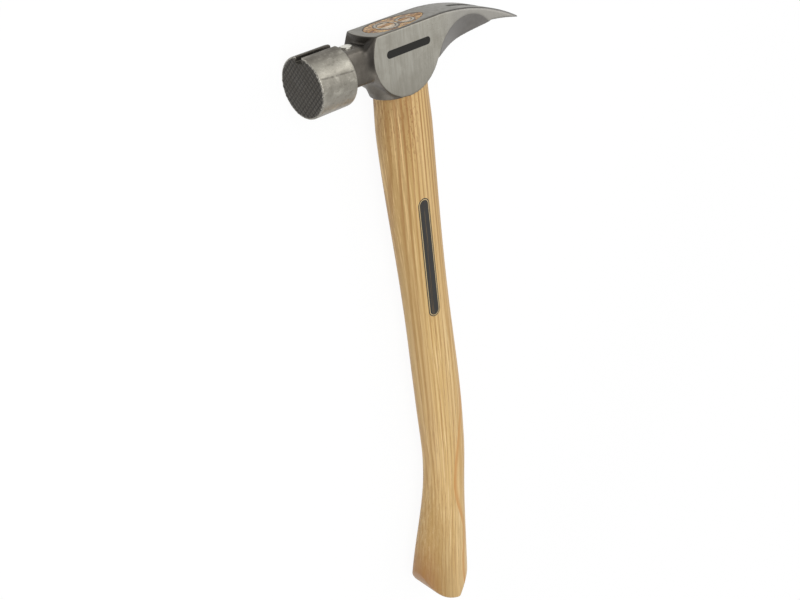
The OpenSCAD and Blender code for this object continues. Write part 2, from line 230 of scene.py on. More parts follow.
soft_box("key_box", (0.4, 0.4, 1.0), 1.2, 0.8, 7)
soft_box("band_box", (0.61, -0.57, 0.55), 1.2, 0.3, 1.1)
soft_box("front_box", (0.25, 1.0, 0.45), 1.4, 0.7, 1.0)
soft_box("back_box", (0.2, -1.0, 0.6), 1.5, 0.9, 2.5)
soft_box("low_box", (-1.0, 0.6, 0.5), 1.3, 0.8, 3)

# %% [markdown]
# The hammer lies on white paper. A plain white diffuse floor would come out grey where lamps
# leave it dim, so the camera sees most of it as flat white, and a little of the lit white keeps
# the soft shadow that ties the hammer to the ground.

# %% Floor paper
paper_white = 0.95
shadow_share = 0.06
shadow_reach = (0.28, 0.5)


def floor_paper():
    """White paper that keeps a faint shadow and never greys towards the horizon."""
    mat = bpy.data.materials.new("floor_paper")
    mat.use_nodes = True
    tree = mat.node_tree
    tree.nodes.clear()
    rays = new_node(tree, "LightPath")
    seen = rays.outputs["Is Camera Ray"]
    for ray in ("Is Glossy Ray", "Is Transmission Ray"):
        seen = arithmetic(tree, "MAXIMUM", seen, rays.outputs[ray])
    place = new_node(tree, "TexCoord")
    reach = new_node(tree, "VectorMath")
    reach.operation = "LENGTH"
    feed(tree, reach.inputs[0], place.outputs["Object"])
    fade = new_node(tree, "MapRange", Value=reach.outputs["Value"], To_Min=1 - shadow_share, To_Max=1.0)
    fade.interpolation_type = "SMOOTHSTEP"
    for side, distance in zip(("From Min", "From Max"), shadow_reach):
        feed(tree, fade.inputs[side], distance)
    share = arithmetic(tree, "MULTIPLY", fade.outputs["Result"], seen)
    paper = new_node(tree, "BsdfDiffuse", Color=(paper_white, paper_white, paper_white, 1))
    white = new_node(tree, "Emission", Strength=1.0)
    mix = new_node(tree, "MixShader", Fac=share)
    feed(tree, mix.inputs[1], paper.outputs["BSDF"])
    feed(tree, mix.inputs[2], white.outputs["Emission"])
    new_node(tree, "OutputMaterial", Surface=mix.outputs["Shader"])
    return mat


print("share of a shadow that shows on the paper:", shadow_share)

# %% [markdown]
# The floor is one large square just under the hammer's lowest point. Every mesh starts as a
# bmesh, and a helper makes the object from it, with its place in its mesh and not in the object.

# %% Floor
floor_size = 6.0
floor_gap = 0.0005


def new_piece(name, shape, *materials):
    """A mesh object at the origin, from a bmesh that already lies in the frame."""
    mesh = bpy.data.meshes.new(name)
    shape.to_mesh(mesh)
    shape.free()
    for material in materials:
        mesh.materials.append(material)
    piece = bpy.data.objects.new(name, mesh)
    scene.collection.objects.link(piece)
    return piece


floor_shape = bmesh.new()
bmesh.ops.create_grid(floor_shape, x_segments=1, y_segments=1, size=floor_size / 2)
bmesh.ops.translate(floor_shape, vec=(0, 0, cad_low.z - floor_gap), verts=floor_shape.verts)
floor = new_piece("studio_floor", floor_shape, floor_paper())
floor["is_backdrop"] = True
print("floor at z", round(cad_low.z - floor_gap, 4), "m")

# %% [markdown]
# Every finish below is a network of nodes on Object coordinates, so that a pattern stays fixed
# in the steel or the wood; an image would need the mesh unwrapped first. One class holds such a
# network, measured in workshop millimetres, and has a short call for each step that comes back.


# %% Finish helpers
class Finish:
    """A material with a principled shader, and short calls for the nodes that feed it."""

    def __init__(self, name, metallic=0.0, roughness=0.5):
        self.material = bpy.data.materials.new(name)
        self.material.use_nodes = True
        self.tree = self.material.node_tree
        self.shader = next(n for n in self.tree.nodes if n.type == "BSDF_PRINCIPLED")
        self.use(Metallic=metallic, Roughness=roughness)
        place = self.node("TexCoord").outputs["Object"]
        scale = (1 / mm, 1 / mm, 1 / mm)
        workshop = self.node("Mapping", Vector=place, Scale=scale, Location=-zero_point / mm)
        self.point = workshop.outputs["Vector"]
        split = self.node("SeparateXYZ", Vector=self.point)
        self.x, self.y, self.z = (split.outputs[axis] for axis in "XYZ")

    def node(self, kind, **inputs):
        return new_node(self.tree, kind, **inputs)

    def calc(self, operation, *values):
        return arithmetic(self.tree, operation, *values)

    def product(self, first, second):
        return self.calc("MULTIPLY", first, second)

    def distance(self, first, second):
        """Long side of the right triangle that has these two short sides."""
        squares = (self.product(side, side) for side in (first, second))
        return self.calc("SQRT", self.calc("ADD", *squares))

    def step(self, value, start, end, low=0.0, high=1.0):
        """Soft step from low to high as the value goes from start to end."""
        node = self.node("MapRange", Value=value, From_Min=start, From_Max=end, To_Min=low, To_Max=high)
        node.interpolation_type = "SMOOTHSTEP"
        return node.outputs["Result"]

    def noise(self, grain_per_mm, detail, roughness, point=None):
        """Noise whose three grain counts per millimetre may differ, as along and across wood."""
        place = self.node("Mapping", Vector=point or self.point, Scale=grain_per_mm).outputs["Vector"]
        node = self.node("TexNoise", Vector=place, Scale=1.0, Detail=detail, Roughness=roughness)
        return node.outputs["Fac"]

    def blend(self, share, first, second):
        """Mix of two colours, each a paint or another node's output."""
        node = self.node("Mix", Factor=share)
        node.data_type = "RGBA"
        colour_sockets = [s for s in node.inputs if s.type == "RGBA"]
        for socket, value in zip(colour_sockets, (first, second)):
            feed(self.tree, socket, value)
        return next(s for s in node.outputs if s.type == "RGBA")

    def bump(self, height, depth, **under):
        """Relief of a depth in millimetres where the height goes from 0 to 1, over another Normal."""
        node = self.node("Bump", Height=height, Strength=1.0, Distance=depth * mm, **under)
        return node.outputs["Normal"]

    def use(self, **inputs):
        """Feed inputs of the shader by name, and give the finished material."""
        for name, value in inputs.items():
            feed(self.tree, self.shader.inputs[name.replace("_", " ")], value)
        return self.material


print("calls of a finish:", [name for name in vars(Finish) if not name.startswith("_")])

# %% [markdown]
# Colours are easiest to judge in a screen's values, 0 to 255. Those have more steps in the dark,
# as the eye does, and shaders count light itself, so one function turns them into linear ones.


# %% Paint
def paint(red, green, blue):
    """A colour in screen values, 0 to 255, as the linear values that shaders take."""
    def linear(v):
        share = v / 255
        return share / 12.92 if share <= 0.04045 else ((share + 0.055) / 1.055) ** 2.4
    return (*(linear(v) for v in (red, green, blue)), 1)


print("middle grey in linear values:", round(paint(128, 128, 128)[0], 3))

# %% [markdown]
# The head is one casting. Its cheeks, claw sides, top and poll are ground bright afterwards, and
# the hollows between keep a darker skin. It could carry many materials, one to a face, but a
# grinding wheel leaves soft borders, so one finish works out the region from the place of each
# point. Each pair of numbers is such a border: where a region is absent, and where it is full.
# The narrow regions come first: painted shade in the nail groove and on the walls of the slot,
# and one long dark line painted on the poll as a reflection.

# %% Shade in the groove and slot, and a reflected line
groove_z = (2.65, 2.45)
groove_floor_x = (-4.0, -3.5)
groove_rim_x = (-0.25, -0.5)
slot_back = 43.0
slot_halves = (1.2, 5.5)
slot_shade_reach = (1.7, 1.0)
slot_root_y = (-41.0, -42.4)
scratch_slope = 0.065
scratch_level = -15.0
scratch_reach = (0.75, 0.1)
scratch_z = (4.0, 8.0)


def groove_shade_mask(f, side, past_back):
    """Painted shade in the nail groove along the top of the poll."""
    within = f.product(f.step(side, *groove_z), past_back)
    within = f.product(within, f.step(f.x, *groove_floor_x))
    return f.product(within, f.step(f.x, *groove_rim_x))


def slot_shade_mask(f, side):
    """Painted shade on the walls of the nail slot and the top beside them; the slot widens evenly from its
    root to the claw's tips.
    """
    widening = (slot_halves[1] - slot_halves[0]) / (claw_reach - slot_back)
    slot_half = f.calc("MULTIPLY_ADD", f.y, -widening, slot_halves[0] - slot_back * widening)
    off_slot = f.calc("SUBTRACT", side, slot_half)
    return f.product(f.step(off_slot, *slot_shade_reach), f.step(f.y, *slot_root_y))


def scratch_mask(f):
    """A painted reflection: one long dark line that runs along the near side of the poll."""
    scratch_x = f.calc("MULTIPLY_ADD", f.y, scratch_slope, scratch_level)
    off_scratch = f.calc("ABSOLUTE", f.calc("SUBTRACT", f.x, scratch_x))
    return f.product(f.step(off_scratch, *scratch_reach), f.step(f.z, *scratch_z))


print("nail slot:", 2 * slot_halves[0], "mm wide at its root and", 2 * slot_halves[1], "at the tips")

# %% [markdown]
# The near cheek carries a plain dark bar with round ends. It is paint, so it is a mask too, and
# not a thin sheet with edges of its own. The distance from the middle line of such a bar is the
# same all round its edge, and a soft step at that distance draws it.

# %% Printed bar on the cheek
cheek_bar_middle = (-12.4, 3.7)
cheek_bar_half_length = 17.5
cheek_bar_half_width = 2.4
cheek_bar_z = (10.0, 11.0)
print_softness = 0.25


def bar_reach(f, along_bar, across_bar, half_length, half_width):
    """Distance from the middle line of a bar with round ends, equal to half_width on its edge."""
    past_end = f.calc("SUBTRACT", f.calc("ABSOLUTE", along_bar), half_length - half_width)
    return f.distance(f.calc("MAXIMUM", past_end, 0.0), across_bar)


def cheek_bar(f):
    """A plain printed bar with round ends on the near cheek."""
    along_bar = f.calc("SUBTRACT", f.y, cheek_bar_middle[1])
    across_bar = f.calc("SUBTRACT", f.x, cheek_bar_middle[0])
    reach = bar_reach(f, along_bar, across_bar, cheek_bar_half_length, cheek_bar_half_width)
    inside = f.step(reach, cheek_bar_half_width, cheek_bar_half_width - print_softness)
    return f.product(inside, f.step(f.z, *cheek_bar_z))


print("bar on the cheek:", 2 * cheek_bar_half_length, "by", 2 * cheek_bar_half_width, "mm")

# %% [markdown]
# The wide regions follow from the main sizes of the head: the planes of the cheeks, the round
# poll, the crown over the eye and the wall behind the nail starter. A region is a product of
# borders, so it is full only where all of them are.

# %% Regions of the head
cheek_z = 12.3
poll_r = 17.5
poll_back = 48.0
face_y = 74.0
crown_r = 152.0
crown_start = 19.0
cheek_skin_z = (cheek_z - 0.16, cheek_z - 0.06)
crown_skin_r = (crown_r - 0.16, crown_r - 0.06)
edge_shade_z = (cheek_z - 2.2, cheek_z - 1.6)
edge_shade_r = (crown_r - 0.5, crown_r - 0.1)
poll_skin_r = (poll_r - 0.7, poll_r - 0.2)
past_back_y = (poll_back + 0.4, poll_back + 1.2)
teeth_skin_y = (face_y - 1.05, face_y - 0.85)
worn_rim_y = (face_y - 1.15, face_y - 0.95)
worn_rim_r = (poll_r - 1.1, poll_r - 0.8)
wall_y = 31.5
wall_fade_y = (23.0, 37.0)
poll_top_shade_x = (-3.8, -1.0)
highlight_upper_x = (-2.6, -5.0)
highlight_lower_x = (-10.6, -9.0)
scoop_y = (-20.0, -25.0)
edge_shade_y = (26.0, -40.0)
hollow_x = (-24.0, -12.0)
deep_wall_shade_x = (-22.0, -12.0)
deep_wall_shade_z = (-2.0, 8.0)


def head_masks(f):
    """Shares, 0 to 1, of each region of the casting at a point."""
    side = f.calc("ABSOLUTE", f.z)
    back = f.calc("MINIMUM", f.calc("ADD", f.y, crown_start), 0.0)
    crown = f.distance(back, f.calc("ADD", f.x, crown_r))
    radius = f.distance(f.calc("ADD", f.x, poll_r), f.z)
    behind_wall = f.step(f.y, wall_y - 1.0, wall_y, 1.0, 0.0)
    by_wall = f.product(f.step(f.y, wall_fade_y[0], wall_y), f.step(f.y, wall_fade_y[1], wall_y + 0.5))
    past_back = f.step(f.y, *past_back_y)
    # Painted shade: a dark line on the top along its edges with the cheeks, stronger on the claw.
    top_edge_shade = f.product(f.step(side, *edge_shade_z), f.step(crown, *edge_shade_r))
    return {
        "cheek": f.step(side, *cheek_skin_z),
        "bar": cheek_bar(f),
        "top": f.product(f.step(crown, *crown_skin_r), behind_wall),
        "poll": f.product(past_back, f.step(radius, *poll_skin_r)),
        "poll_top_shade": f.step(f.x, *poll_top_shade_x),
        "poll_highlight": f.product(f.step(f.x, *highlight_upper_x), f.step(f.x, *highlight_lower_x)),
        "scratch": scratch_mask(f),
        "groove": groove_shade_mask(f, side, past_back),
        "face": f.step(f.y, *teeth_skin_y),
        "rim": f.product(f.step(f.y, *worn_rim_y), f.step(radius, *worn_rim_r)),
        "scoop": f.step(f.y, *scoop_y),
        "slot": slot_shade_mask(f, side),
        "edge": f.product(top_edge_shade, f.step(f.y, *edge_shade_y, 0.25, 0.9)),
        "hollow": f.product(by_wall, f.step(f.x, *hollow_x)),
        "deep_wall_shade": f.product(f.product(by_wall, f.step(f.z, *deep_wall_shade_z)), f.step(f.x, *deep_wall_shade_x)),
    }


print("poll:", 2 * poll_r, "mm across; cheeks:", 2 * cheek_z, "mm apart")

# %% [markdown]
# Metal as it was cast is matt and dark. Ground metal is bright, with fine marks in the way the
# wheel ran. A photo of metal could be wrapped round the head, but it would stretch at every
# bend, so each skin is layers of paint laid over each other by noise, broad clouds first.

# %% Cast and ground skins
scoop_shade_y = (-48.0, -25.0)
pitted_y = (10.0, -20.0)
claw_side_y = (-18.0, -45.0)
cheek_low_x = (-22.0, -38.0)
top_y = (30.0, -25.0)


def head_noises(f):
    """Patterns in the metal, from broad clouds to fine specks."""
    return {
        "cloud": f.noise((0.09, 0.09, 0.09), 4, 0.55),
        "fine_cloud": f.noise((0.35, 0.35, 0.35), 4, 0.6),
        "speck": f.noise((1.8, 1.8, 1.8), 3, 0.6),
        "wheel_marks": f.noise((0.05, 0.7, 0.7), 4, 0.6),
        "turned_marks": f.noise((0.10, 0.9, 0.10), 4, 0.6),
        "mottle": f.noise((0.22, 0.14, 0.22), 6, 0.7),
    }


def cast_skin(f, on, grain):
    """Dark skin of the casting, paler in the claw's scoops, with painted shade by the wall behind the neck.
    """
    cast = f.blend(f.step(grain["cloud"], 0.3, 0.7), paint(88, 83, 76), paint(112, 107, 99))
    cast = f.blend(f.step(grain["speck"], 0.52, 0.72, 0, 0.3), cast, paint(66, 63, 59))
    scoop = f.blend(f.step(grain["fine_cloud"], 0.3, 0.7), paint(128, 125, 121), paint(136, 133, 129))
    scoop = f.blend(f.step(f.y, *scoop_shade_y, 0, 0.35), scoop, paint(102, 99, 95))
    cast = f.blend(on["scoop"], cast, scoop)
    # Painted shade: the skin darkens by the wall behind the neck, most on its near side.
    cast = f.blend(f.product(on["hollow"], 0.75), cast, paint(46, 43, 39))
    return f.blend(f.product(on["deep_wall_shade"], 0.6), cast, paint(40, 37, 34))


def cheek_skin(f, on, grain):
    """Bright ground sides, with small pits towards the claw and the printed bar."""
    ground = f.blend(f.step(grain["wheel_marks"], 0.3, 0.7), paint(151, 148, 138), paint(165, 162, 152))
    ground = f.blend(f.step(grain["cloud"], 0.45, 0.7, 0, 0.5), ground, paint(141, 137, 126))
    ground = f.blend(f.step(grain["mottle"], 0.5, 0.3, 0, 0.35), ground, paint(172, 169, 158))
    pits = f.product(f.step(grain["speck"], 0.58, 0.68), f.step(f.y, *pitted_y, 0.1, 0.7))
    ground = f.blend(pits, ground, paint(118, 114, 104))
    ground = f.blend(f.step(f.y, *claw_side_y, 0, 0.7), ground, paint(150, 147, 142))
    ground = f.blend(f.step(f.x, *cheek_low_x, 0, 0.35), ground, paint(122, 117, 105))
    return f.blend(on["bar"], ground, f.blend(grain["speck"], paint(34, 33, 31), paint(50, 49, 46)))


def shaded_top_skin(f, grain):
    """The crown over the eye and the claw, ground like the cheeks but painted darker as shade."""
    top = f.blend(f.step(f.y, *top_y), paint(128, 125, 116), paint(126, 123, 115))
    return f.blend(f.step(grain["cloud"], 0.45, 0.7, 0, 0.4), top, paint(100, 96, 87))


print("pits in the cheeks come in from y", pitted_y[0], "to", pitted_y[1], "mm")

# %% [markdown]
# The poll is turned, so its marks run round it, and use has smudged it. A painted highlight, a
# painted reflection of the floor and painted shade model its round side. The milled face is
# painted black between its teeth as shade. The same layers of paint do both.

# %% Turned poll and milled face
floor_reflection_x = (-16.0, -27.0)
under_shade_x = (-28.5, -33.0)
far_lip_shade_z = (-1.0, -2.4)
teeth_tips_y = (face_y - 0.8, face_y - 0.35)


def poll_skin(f, on, grain):
    """Turned poll, smudged by use, with a painted highlight along the side, a painted reflection of the
    floor below it, and painted shade on top and underneath.
    """
    mottle = grain["mottle"]
    poll = f.blend(f.step(grain["turned_marks"], 0.35, 0.65), paint(138, 134, 124), paint(146, 142, 132))
    # Painted highlight: a bright band along the side of the poll.
    poll = f.blend(f.product(on["poll_highlight"], 0.7), poll, paint(162, 158, 147))
    # Painted reflection of the white floor on the lower half of the poll.
    poll = f.blend(f.step(f.x, *floor_reflection_x, 0, 0.8), poll, paint(178, 173, 162))
    poll = f.blend(f.step(mottle, 0.50, 0.68, 0, 0.75), poll, paint(186, 182, 170))
    poll = f.blend(f.step(mottle, 0.48, 0.32, 0, 0.6), poll, paint(112, 107, 97))
    poll = f.blend(f.step(grain["speck"], 0.5, 0.7, 0, 0.3), poll, paint(120, 115, 105))
    # Painted shade on top of the poll, beside the groove.
    top_shade = f.product(on["poll_top_shade"], f.step(mottle, 0.3, 0.65, 0.9, 0.6))
    poll = f.blend(top_shade, poll, paint(90, 85, 77))
    # Painted reflection: a dark line along the poll, broken by noise.
    broken = f.step(grain["fine_cloud"], 0.35, 0.6, 0.1, 0.6)
    poll = f.blend(f.product(on["scratch"], broken), poll, paint(70, 66, 59))
    # Painted shade, darker still, along the far side of the poll's top.
    far_lip_shade = f.product(on["poll_top_shade"], f.step(f.z, *far_lip_shade_z, 0, 0.6))
    poll = f.blend(far_lip_shade, poll, paint(56, 53, 47))
    # Painted shade along the underside of the poll.
    return f.blend(f.step(f.x, *under_shade_x, 0, 0.75), poll, paint(112, 108, 100))


def face_skin(f, grain):
    """Milled striking face, painted black between the teeth as shade."""
    # Painted shade: black in the valleys between the teeth, paler at their tips.
    face = f.blend(f.step(f.y, *teeth_tips_y), paint(48, 46, 43), paint(87, 84, 79))
    return f.blend(f.step(grain["cloud"], 0.4, 0.7, 0, 0.4), face, paint(64, 60, 54))


print("teeth turn pale", round(face_y - teeth_tips_y[0], 2), "mm under their tips")

# %% [markdown]
# The regions now choose between the skins, one laid over the other as a painter masks them,
# with painted shade along the top's edges, in the slot and in the groove. Relief from the same
# noises makes specks and wheel marks catch the light just where their colour changes.


# %% Steel of the head
def head_steel():
    f = Finish("head_steel", metallic=0.8, roughness=0.4)
    on = head_masks(f)
    grain = head_noises(f)
    colour = f.blend(on["cheek"], cast_skin(f, on, grain), cheek_skin(f, on, grain))
    colour = f.blend(on["top"], colour, shaded_top_skin(f, grain))
    # Painted shade along the top's edges.
    colour = f.blend(on["edge"], colour, paint(62, 59, 52))
    # Painted shade in the nail slot.
    colour = f.blend(f.product(on["slot"], 0.85), colour, paint(48, 46, 40))
    colour = f.blend(on["poll"], colour, poll_skin(f, on, grain))
    colour = f.blend(on["face"], colour, face_skin(f, grain))
    worn_rim = f.product(on["rim"], f.step(grain["speck"], 0.4, 0.6, 0.2, 0.9))
    colour = f.blend(worn_rim, colour, paint(178, 174, 164))
    # Painted shade in the nail groove.
    colour = f.blend(f.product(on["groove"], 0.7), colour, paint(48, 46, 41))
    relief = f.bump(grain["speck"], 0.025)
    relief = f.bump(grain["wheel_marks"], 0.02, Normal=relief)
    rough = f.step(grain["fine_cloud"], 0.3, 0.7, 0.36, 0.46)
    return f.use(Base_Color=colour, Roughness=rough, Normal=relief)


head_finish = head_steel()
print("nodes in the head's finish:", len(head_finish.node_tree.nodes))

# %% [markdown]
# The mesh of the head starts as a copy of the CAD node. CAD edges are perfectly sharp, and a
# cast and ground head has none. Bevels would have to be chosen edge by edge, so the copy is
# rebuilt from small voxels instead, which melt every edge by a hair. The hollows round the neck
# are smoothed most, as fillets, and the teeth of the face not at all.

# %% Voxel copy of the head
voxel = 0.42
weld_distance = 0.002


def cad_copy(node):
    """The node's triangles joined into one closed skin."""
    shape = bmesh.new()
    shape.from_mesh(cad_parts[node].data)
    bmesh.ops.remove_doubles(shape, verts=shape.verts, dist=weld_distance * mm)
    return shape


def baked(piece):
    """The piece's mesh with its modifiers applied, as a bmesh; the piece itself goes."""
    graph = bpy.context.evaluated_depsgraph_get()
    shape = bmesh.new()
    shape.from_mesh(piece.evaluated_get(graph).to_mesh())
    bpy.data.objects.remove(piece)
    return shape


head_rough = new_piece("head_rough", cad_copy("head"))
remesh = head_rough.modifiers.new("voxels", "REMESH")
remesh.mode = "VOXEL"
remesh.voxel_size = voxel * mm
head_shape = baked(head_rough)
print("vertices of the voxel copy:", len(head_shape.verts))

# %% [markdown]
# Smoothing moves each vertex towards its neighbours, so it is kept off places that must stay
# crisp: the eye, where the wood fits, the rear edge of the poll, and the teeth. Many rounds
# draw the sharp hollows round the neck out into fillets. A few more take the voxels' steps off
# everything behind the teeth.

# %% Fillets of the casting
smooth_rounds = 3
fillet_rounds = 70
eye_fwd = 2.0
eye_reach = (22.5, 11.5)
fillet_x = (-38.6, -6.5)
fillet_y = (15.0, poll_back + 2)
fillet_z = cheek_z - 0.7
teeth_y = face_y - 1.3
sharp_poll_r = poll_r - 2.5


def smoothed_parts(shape):
    """Vertices of the hollows round the neck, and all vertices behind the teeth."""
    to_workshop = to_frame.inverted()
    hollows, behind_teeth = [], []
    for v in shape.verts:
        x, y, z = to_workshop @ v.co
        if y < teeth_y:
            behind_teeth.append(v)
        in_eye = ((y - eye_fwd) / eye_reach[0]) ** 2 + (z / eye_reach[1]) ** 2 < 1
        in_fillet = fillet_y[0] < y < fillet_y[1] and fillet_x[0] < x < fillet_x[1] and abs(z) < fillet_z
        by_poll = y > poll_back - 1 and math.hypot(x + poll_r, z) > sharp_poll_r
        if in_fillet and not in_eye and not by_poll:
            hollows.append(v)
    return hollows, behind_teeth


hollows, behind_teeth = smoothed_parts(head_shape)
for part, rounds in ((hollows, fillet_rounds), (behind_teeth, smooth_rounds)):
    for _ in range(rounds):
        bmesh.ops.smooth_vert(
            head_shape, verts=part, factor=0.5, use_axis_x=True, use_axis_y=True, use_axis_z=True
        )
print("vertices drawn into fillets:", len(hollows), "of", len(head_shape.verts))

# %% [markdown]
# Voxels are as small on the flat cheeks as on the teeth. A Decimate modifier merges the faces
# that lie flat and keeps those that bend. The piece then stands in for the CAD head.

# %% Head
head_triangles = 150000
head_smooth = new_piece("head_smooth", head_shape)
thin = head_smooth.modifiers.new("thin", "DECIMATE")
thin.ratio = min(1.0, head_triangles / (2 * len(head_smooth.data.polygons)))
head_shape = baked(head_smooth)
for face in head_shape.faces:
    face.smooth = True
print("head faces:", len(head_shape.faces))
head = new_piece("hammer_head", head_shape, head_finish)
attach(head, "root")
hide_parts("head")

# %% [markdown]
# The handle is a loft: one rounded outline that is pushed down the handle line in steps, and
# takes a new width, thickness and place at each. It swells at the shoulder under the head, draws
# in at the throat, and sweeps forwards into a wide butt whose end is slanted and rounded. A
# curved modifier on a straight stick would bend it, but not give each place its own section.

# %% Handle sizes
widths = dict(shoulder=39.5, throat=34.0, grip=35.0, wrist=33.6, butt=52.0)
thicknesses = dict(shoulder=24.0, throat=23.0, grip=25.0, wrist=24.0, butt=28.0)
spans = dict(throat=(0.12, 0.4), grip=(0.42, 0.58), wrist=(0.6, 0.72), butt=(0.74, 0.97))
shoulder_tuck = 3.0
tuck_span = (0.08, 0.15)
grip_bow = 8.5
bow_span = (0.1, 0.7)
butt_sweep = 17.0
sweep_span = (0.68, 1.0)
section_power = 2.4


def ramp(share, span):
    """Soft step from 0 to 1 over a span of the length."""
    t = min(max((share - span[0]) / (span[1] - span[0]), 0), 1)
    return t * t * (3 - 2 * t)


def along(share, sizes):
    """Width or thickness at a share of the length, eased from each named size to the next."""
    size = sizes["shoulder"]
    before = size
    for name, span in spans.items():
        size += (sizes[name] - before) * ramp(share, span)
        before = sizes[name]
    return size


def middle_y(share):
    """Place of the handle's bent middle line."""
    return eye_fwd - grip_bow * ramp(share, bow_span) + butt_sweep * ramp(share, sweep_span)


def squircle(v):
    """A sine or cosine made fuller, so that an oval's sides come out flatter."""
    return math.copysign(abs(v) ** (2 / section_power), v)


def outline_point(share, angle):
    """Point of the handle's skin at a share of the length and an angle round the section."""
    half_w = (along(share, widths) - shoulder_tuck * (1 - ramp(share, tuck_span))) / 2
    half_t = along(share, thicknesses) / 2
    return Vector((
        -share * overall_length,
        middle_y(share) + half_w * squircle(math.cos(angle)),
        half_t * squircle(math.sin(angle)),
    ))


print("bow of the handle at the wrist:", round(eye_fwd - middle_y(spans["wrist"][0]), 1), "mm")

# %% [markdown]
# Hickory is cut with its growth rings running from cheek to cheek of the handle, so the sides
# show long straight lines, and the front and rear edges wide arches. Lines painted on would not
# meet at the edges. Rings about a centre well outside the handle, flattened near the head, are
# cut by the wood's own surface instead, as the saw cuts a real tree, and meet everywhere.

# %% Growth rings
ring_gap = 1.75
ring_centre = (52.0, -66.0)
ring_slant = 0.006
ring_wander = 7.0
flat_x = (-430.0, -60.0)
flat_shares = (0.3, 0.8)
bend_followed = 0.6
arch_push = 4.5
pushed_y = (-2.0, -12.0)
upper_arch_x = ((-255.0, -340.0), (-404.0, -340.0))
lower_arch_x = ((-378.0, -415.0), (-470.0, -425.0))
lower_arch_share = 0.35


def bent_grain(f):
    """Points measured from the bent middle of the handle, which the grain follows."""
    bow_x = [-share * overall_length for share in bow_span]
    sweep_x = [-share * overall_length for share in sweep_span]
    bow = f.step(f.x, *bow_x, 0, grip_bow)
    sweep = f.step(f.x, *sweep_x, 0, butt_sweep)
    bend = f.product(f.calc("SUBTRACT", bow, sweep), bend_followed)
    across = f.calc("ADD", f.y, bend)
    return across, f.node("CombineXYZ", X=f.x, Y=across, Z=f.z).outputs["Vector"]


def arch_shift(f):
    """Height, 0 to 1, of the arches that the flare of the butt cuts through the rings."""
    upper, lower = (
        f.product(f.step(f.x, *rise), f.step(f.x, *fall)) for rise, fall in (upper_arch_x, lower_arch_x)
    )
    return f.calc("ADD", upper, f.product(lower, lower_arch_share))


def growth_rings(f, across, point):
    """Share of dark late wood in the growth ring at a point, and the share through the ring."""
    wander = f.noise((0.004, 0.012, 0.012), 2, 0.5, point=point)
    out_y = f.calc("SUBTRACT", across, ring_centre[0])
    out_z = f.calc("SUBTRACT", f.z, ring_centre[1])
    radius = f.calc("ADD", f.distance(out_y, out_z), f.product(f.x, ring_slant))
    radius = f.calc("ADD", radius, f.product(wander, ring_wander))
    radius = f.calc("SUBTRACT", radius, f.product(f.z, f.step(f.x, *flat_x, *flat_shares)))
    pushed = f.product(arch_shift(f), f.step(across, *pushed_y, 0, arch_push))
    radius = f.calc("ADD", radius, pushed)
    through = f.calc("FRACT", f.calc("DIVIDE", radius, ring_gap))
    late = f.product(f.step(through, 0.5, 0.8), f.step(through, 1.0, 0.94))
    strong = f.noise((0.003, 0.16, 0.16), 2, 0.5, point=point)
    return f.product(late, f.step(strong, 0.35, 0.6, 0.4, 1.0)), through


print("growth rings across the butt:", round(widths["butt"] / ring_gap))

# %% [markdown]
# The wood is oiled, and it is darker towards the head, at the throat and on the toe, and
# painted shade darkens its front edge. Right under the head short rough dashes show, and the lines
# of the rings stay crisp. Each darkening is one more layer over the wood, with its own soft borders.

# %% Dark patches and shade
head_end_x = (-330.0, -60.0)
throat_x = (-78.0, -42.0)
throat_y = (-2.0, 15.0)
rough_x = (-105.0, -50.0)
rough_y = (-4.0, 6.0)
front_shade_y = (2.0, 17.0)
toe_x = (-360.0, -420.0)
toe_y = (13.0, 34.0)
crisp_x = (-200.0, -70.0)


def dark_patches_and_shade(f, wood):
    """Darker wood towards the head, at the throat and on the toe, and painted shade on the front edge."""
    cloud = f.noise((0.05, 0.12, 0.12), 3, 0.6)
    dash = f.noise((0.28, 0.75, 0.75), 2, 0.5)
    wood = f.blend(f.product(f.step(f.x, *head_end_x), 0.28), wood, paint(162, 128, 70))
    throat = f.product(f.step(f.x, *throat_x), f.step(f.y, *throat_y))
    wood = f.blend(f.product(throat, f.step(cloud, 0.3, 0.7, 0.2, 0.85)), wood, paint(138, 100, 56))
    rough_front = f.product(f.step(f.x, *rough_x), f.step(f.y, *rough_y))
    dashes = f.product(rough_front, f.step(dash, 0.53, 0.60))
    wood = f.blend(f.product(dashes, 0.7), wood, paint(136, 88, 46))
    # Painted shade along the front edge of the handle.
    wood = f.blend(f.step(f.y, *front_shade_y, 0, 0.55), wood, paint(146, 112, 56))
    toe_side = f.product(f.step(f.x, *toe_x), f.step(f.y, *toe_y))
    return f.blend(f.product(toe_side, 0.9), wood, paint(138, 90, 34))


def upper_lines(f, wood, late, line):
    """Growth lines that stay crisp under the oil in the half next to the head."""
    crisp = f.step(f.x, *crisp_x)
    pale = f.product(f.step(line, 0.48, 0.38), crisp)
    wood = f.blend(f.product(pale, 0.6), wood, paint(222, 188, 132))
    dark = f.product(late, crisp)
    return f.blend(f.product(dark, 0.6), wood, paint(146, 102, 46))


print("darkened toe starts", -toe_x[0], "mm below the top of the head")

# %% [markdown]
# Two places on the handle have a look of their own. In the eye the wood is sawn across, so it
# shows rough end grain, with painted shade in the gaps round the ring wedges. On the near side a
# plain bar with round ends and a thin pale line is printed. Both are masks in the finish, because
# paint and end grain have no thickness that a mesh could show.

# %% End grain and printed bar
wedge_rings = (((9.04, 0.69), 5.9), ((-5.04, 1.58), 4.2))
wedge_wall = 1.3
gap_shade_halves = (0.95, 0.5)
mark_middle = (-150.0, 1.6)
mark_slope = 0.022
mark_half_length = 43.0
mark_half_width = 4.8
mark_z = (2.0, 3.0)
line_insets = ((0.75, 0.9), (1.35, 1.2))


